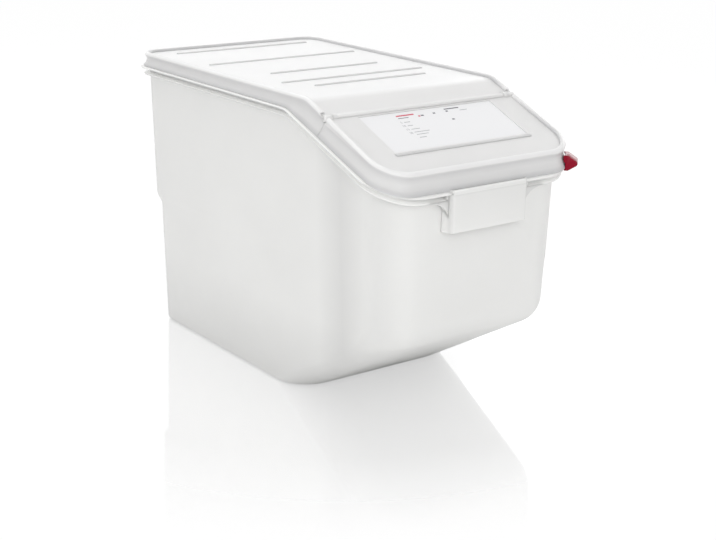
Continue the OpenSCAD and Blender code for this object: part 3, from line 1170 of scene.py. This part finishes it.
def ramp(tree, value, *stops):
    """Colours along a value, from stops of (place, colour)."""
    made = node(tree, "ValToRGB")
    elements = made.color_ramp.elements
    for _ in stops[2:]:
        elements.new(0.5)
    for element, (place_at, color) in zip(elements, stops):
        element.position, element.color = place_at, (*color, 1)
    feed(tree, value, made.inputs["Fac"])
    return made.outputs["Color"]


print(len(bpy.data.materials), "materials before the finishes")

# %% [markdown]
# Clouds of colour and the mould's fine grain are both noise, coarse or fine, in the coordinates of
# the piece itself. Helpers make each of them, and the shader that they feed.

# %% Helpers: noise, clouds, shader and grain
NOISE_LOW, NOISE_HIGH = 0.3, 0.7  # nearly all of the noise lies between these
GRAIN_DEPTH = 0.05 * MM


def noise(tree, scale, detail=2):
    """Noise on Object coordinates, so that it stays fixed to the piece."""
    texture = node(tree, "TexNoise")
    feed(tree, node(tree, "TexCoord").outputs["Object"], texture.inputs["Vector"])
    feed(tree, scale, texture.inputs["Scale"])
    feed(tree, detail, texture.inputs["Detail"])
    return texture.outputs["Fac"]


def clouds(tree, scale, low, high):
    """A colour that wanders over the piece from low to high."""
    return ramp(tree, noise(tree, scale), (NOISE_LOW, low), (NOISE_HIGH, high))


def principled(name, color, roughness, **sockets):
    material = bpy.data.materials.new(name)
    material.use_nodes = True
    tree = material.node_tree
    shader = tree.nodes["Principled BSDF"]
    shader.inputs["Base Color"].default_value = (*color, 1)
    shader.inputs["Roughness"].default_value = roughness
    for socket, value in sockets.items():
        shader.inputs[socket.replace("_", " ")].default_value = value
    return material, tree, shader


def grain(tree, shader, scale, strength):
    """The fine grain that a mould leaves, as a bump."""
    bump = node(tree, "Bump")
    feed(tree, strength, bump.inputs["Strength"])
    feed(tree, GRAIN_DEPTH, bump.inputs["Distance"])
    feed(tree, noise(tree, scale, 3), bump.inputs["Height"])
    feed(tree, bump.outputs["Normal"], shader.inputs["Normal"])


print("grain", round(1000 * GRAIN_DEPTH, 2), "mm deep")

# %% [markdown]
# ## The milky plastic
# Round its corners a milky wall looks greyer, because there one looks along it. That grey is
# painted shade here, twice as strong at the rear and with a band beside the front corners. It
# follows the surface's own direction and place, which stay with the piece, whatever side it is seen
# from.

# %% Define the painted shade of the corners
SHADE_BAND_Y = FRONT_Y + 2 * RIM_FRONT_R
SHADE_BAND_REACH = 40 * MM
# From here ahead of the middle to here behind it, the corners' painted shade doubles.
CORNER_SPAN = 100 * MM  # from here ahead of the middle to here behind it, the corners' grey doubles


def corner_painted_shade(tree, facing, at, corner_shade):
    """Painted shade round the corners, twice as much at the rear, and in a band beside the front
    ones.
    """
    turned = calculate(tree, "ABSOLUTE", calculate(tree, "MULTIPLY", facing["X"], facing["Y"]))
    sideways = calculate(tree, "POWER", calculate(tree, "ABSOLUTE", facing["X"]), 2)
    turned = calculate(tree, "MULTIPLY", turned, sideways)
    share = remap(tree, at["Y"], -CORNER_SPAN, CORNER_SPAN, corner_shade, 2 * corner_shade)
    turned = calculate(tree, "MULTIPLY", turned, share)
    beside = calculate(tree, "ABSOLUTE", calculate(tree, "SUBTRACT", at["Y"], SHADE_BAND_Y))
    shade_band = remap(tree, beside, 0, SHADE_BAND_REACH, corner_shade / 2, 0)
    return calculate(tree, "MULTIPLY_ADD", shade_band, sideways, turned)


print("band beside the front corners", round(2000 * SHADE_BAND_REACH), "mm wide")

# %% [markdown]
# The colour of the plastic follows three things, all painted light and shade: the painted light and
# shade on its points, the painted shade of its corners, and painted shade that grows towards the
# bottom. Faint clouds lie over them.

# %% Define the milky plastic
SCATTER = 6 * MM
FOOT_SHADE_REACH = 90 * MM
CLOUD_SHADE = 0.965
SATIN_SCALE = 90
SATIN_LESS, SATIN_MORE = 0.05, 0.06


def milky(name, shades, roughness, cloud_scale, corner_shade, foot):
    """Shades are the colours for painted light (-1), the plain plastic (0) and painted shade (1).
    Corner and foot add painted shade there.
    """
    material, tree, shader = principled(
        name,
        shades[1],
        roughness,
        Subsurface_Weight=0.5,
        Subsurface_Radius=(1, 1, 1),
        Subsurface_Scale=SCATTER,
        Specular_IOR_Level=0.4,
    )
    coordinates = node(tree, "TexCoord").outputs
    facing = fed(tree, "SeparateXYZ", [coordinates["Normal"]])
    at = fed(tree, "SeparateXYZ", [coordinates["Object"]])
    painted_on_points = node(tree, "Attribute", attribute_name="painted_shading").outputs["Fac"]
    # Painted light and shade from the points, plus painted shade at the corners and towards the
    # foot.
    painted_shading = calculate(tree, "MULTIPLY_ADD", corner_painted_shade(tree, facing, at, corner_shade), 2, painted_on_points)
    painted_shading = calculate(tree, "ADD", painted_shading, remap(tree, at["Z"], 0, FOOT_SHADE_REACH, foot, 0))
    place_on_ramp = calculate(tree, "MULTIPLY_ADD", painted_shading, 0.5, 0.5)
    mix = node(tree, "Mix", data_type="RGBA", blend_type="MULTIPLY")
    mix.inputs["Factor"].default_value = 1
    feed(tree, ramp(tree, place_on_ramp, *zip((0, 0.5, 1), shades)), mix.inputs["A"])
    feed(tree, clouds(tree, cloud_scale, (CLOUD_SHADE,) * 3, (1, 1, 1)), mix.inputs["B"])
    feed(tree, mix.outputs["Result"], shader.inputs["Base Color"])
    spread = (roughness - SATIN_LESS, roughness + SATIN_MORE)
    satin = remap(tree, noise(tree, SATIN_SCALE), NOISE_LOW, NOISE_HIGH, *spread)
    feed(tree, satin, shader.inputs["Roughness"])
    grain(tree, shader, 1800, 0.25)
    return material


print("light creeps", round(1000 * SCATTER), "mm into the plastic")

# %% [markdown]
# The tub and the lid are of two plastics. The lid's is a little glossier and a little darker, and
# only the tub's gets painted shade round its corners and towards its foot.

# %% Make the tub's and the lid's plastic
# Each plastic's colours: for its palest painted light, its own plain colour, and its greyest
# painted shade.
TUB_SHADES = ((0.92, 0.92, 0.91), (0.80, 0.80, 0.785), (0.58, 0.58, 0.575))
LID_SHADES = ((0.93, 0.93, 0.93), (0.775, 0.77, 0.765), (0.53, 0.53, 0.535))
tub_plastic = milky("milky_tub", TUB_SHADES, 0.42, 9, 0.5, 0.5)
lid_plastic = milky("milky_lid", LID_SHADES, 0.34, 12, 0, 0)
print("plastics", [m.name for m in (tub_plastic, lid_plastic)])

# %% [markdown]
# ## The film, the inks and the clip
# The film is smooth, with a faint grain from its backing. Ink never covers evenly, so its colour
# wanders from the plain colour to one a little paler. The clip is a deep red gloss.

# %% Make the film, the inks and the clip's gloss
INK_PALER = 0.06

film_skin, tree, shader = principled("label_film", (0.80, 0.80, 0.81), 0.3)
grain(tree, shader, 700, 0.1)


def ink(name, color):
    material, tree, shader = principled(name, color, 0.4)
    paler = tuple(c + INK_PALER for c in color)
    feed(tree, clouds(tree, 900, color, paler), shader.inputs["Base Color"])
    return material


red_ink = ink("red_ink", (0.55, 0.05, 0.09))
dark_ink = ink("dark_ink", (0.07, 0.07, 0.09))
grey_ink = ink("grey_ink", (0.32, 0.32, 0.34))

CLIP_RED = (0.24, 0.003, 0.017)
CLIP_DEEP = (0.21, 0.002, 0.014)
CLIP_PALE = (0.27, 0.004, 0.02)
clip_gloss, tree, shader = principled("clip_gloss", CLIP_RED, 0.22, Specular_IOR_Level=0.12)
feed(tree, clouds(tree, 60, CLIP_DEEP, CLIP_PALE), shader.inputs["Base Color"])
grain(tree, shader, 900, 0.12)

for piece, material in (
    (tub, tub_plastic),
    (cover, lid_plastic),
    (flap, lid_plastic),
    (film, film_skin),
    (red_print, red_ink),
    (dark_print, dark_ink),
    (grey_print, grey_ink),
    (number_print, grey_ink),
    (clip, clip_gloss),
):
    piece.data.materials.clear()
    piece.data.materials.append(material)
print(len(bpy.data.materials), "materials")

# %% [markdown]
# ## The floor
# The bin stands on a white sheet. It takes the bin's shadow and, to the camera, it is also
# polished, so that the bin's reflection shows below it. The polish fades out round the bin into
# plain white, by distance from the bin's middle.

# %% Lay the floor
FLOOR_WHITE = (0.92, 0.92, 0.92)
FLOOR_GLOW = 0.58
FLOOR_POLISH = 0.44
PLAIN_GLOW = 1.02
CAMERA_SHARE = 0.92
POLISH_FULL = 0.27
POLISH_GONE = 0.46
WHITE = (1, 1, 1, 1)


def white_light(tree, kind, strength):
    return fed(tree, kind, (WHITE, strength))[kind]


def mix_shaders(tree, share, first, second):
    return fed(tree, "MixShader", (share, first, second))["Shader"]


floor = primitive("floor", bpy.ops.mesh.primitive_plane_add, size=12, location=(0, 0, 0))
floor_paint, tree, shader = principled("floor_paint", FLOOR_WHITE, 0.6)
polish = node(tree, "BsdfGlossy", distribution="MULTI_GGX")
polish.inputs["Color"].default_value = (FLOOR_POLISH, FLOOR_POLISH, FLOOR_POLISH, 1)
polish.inputs["Roughness"].default_value = 0.07
glow = white_light(tree, "Emission", FLOOR_GLOW)
polished = fed(tree, "AddShader", (glow, polish.outputs["BSDF"]))["Shader"]
bin_middle = (0, (tub_low.y + tub_high.y) / 2, 0)
away = node(tree, "VectorMath", operation="DISTANCE")
feed(tree, node(tree, "TexCoord").outputs["Object"], away.inputs[0])
feed(tree, bin_middle, away.inputs[1])
fade = remap(tree, away.outputs["Value"], POLISH_FULL, POLISH_GONE, 0, 1)
seen = mix_shaders(tree, fade, polished, white_light(tree, "Emission", PLAIN_GLOW))
to_camera = node(tree, "LightPath").outputs["Is Camera Ray"]
share = calculate(tree, "MULTIPLY", to_camera, CAMERA_SHARE)
surface = mix_shaders(tree, share, shader.outputs["BSDF"], seen)
feed(tree, surface, tree.nodes["Material Output"].inputs["Surface"])
floor.data.materials.append(floor_paint)
print("polish fades from", round(1000 * POLISH_FULL), "to", round(1000 * POLISH_GONE), "mm")

# %% [markdown]
# ## The room
# The camera, and anything glossy, sees the world as plain white. The light on the bin comes from a
# softer world, so that pale plastic keeps its shading and doesn't burn out.

# %% Fill the room with light
ROOM_LIGHT = 0.68

world = bpy.data.worlds.new("studio")
bpy.context.scene.world = world
world.use_nodes = True
tree = world.node_tree
tree.nodes.clear()
rays = node(tree, "LightPath").outputs
direct = calculate(tree, "MAXIMUM", rays["Is Camera Ray"], rays["Is Glossy Ray"])
direct = calculate(tree, "MAXIMUM", direct, rays["Is Transmission Ray"])
soft, white = (white_light(tree, "Background", strength) for strength in (ROOM_LIGHT, 1))
fed(tree, "OutputWorld", [mix_shaders(tree, direct, soft, white)])
print("room light", ROOM_LIGHT)

# %% [markdown]
# ## The lamps
# Four large lamps stand round the bin, the strongest above and behind it. Large lamps give the
# soft edges of shade that a light tent gives. All are aimed at the bin's middle.

# %% Hang the lamps
LAMP_AIM = Vector((0, -0.08, 0.15))


def lamp(name, at, size, watts):
    light = bpy.data.lights.new(name, "AREA")
    light.size, light.energy = size, watts
    stand = bpy.data.objects.new(name, light)
    bpy.context.scene.collection.objects.link(stand)
    stand.location = at
    stand.rotation_euler = (LAMP_AIM - Vector(at)).to_track_quat("-Z", "Y").to_euler()
    return stand


lamps = [
    lamp("top_lamp", (0.1, 1.0, 1.9), 1.6, 15.5),
    lamp("front_lamp", (-0.5, -1.8, 0.8), 1.2, 8.5),
    lamp("left_lamp", (-1.7, -0.5, 0.7), 1.2, 5.5),
    lamp("right_lamp", (1.6, 0.7, 0.7), 1.2, 5),
]
bpy.context.scene.view_settings.view_transform = "Standard"
print(len(lamps), "lamps,", sum(stand.data.energy for stand in lamps), "watts")
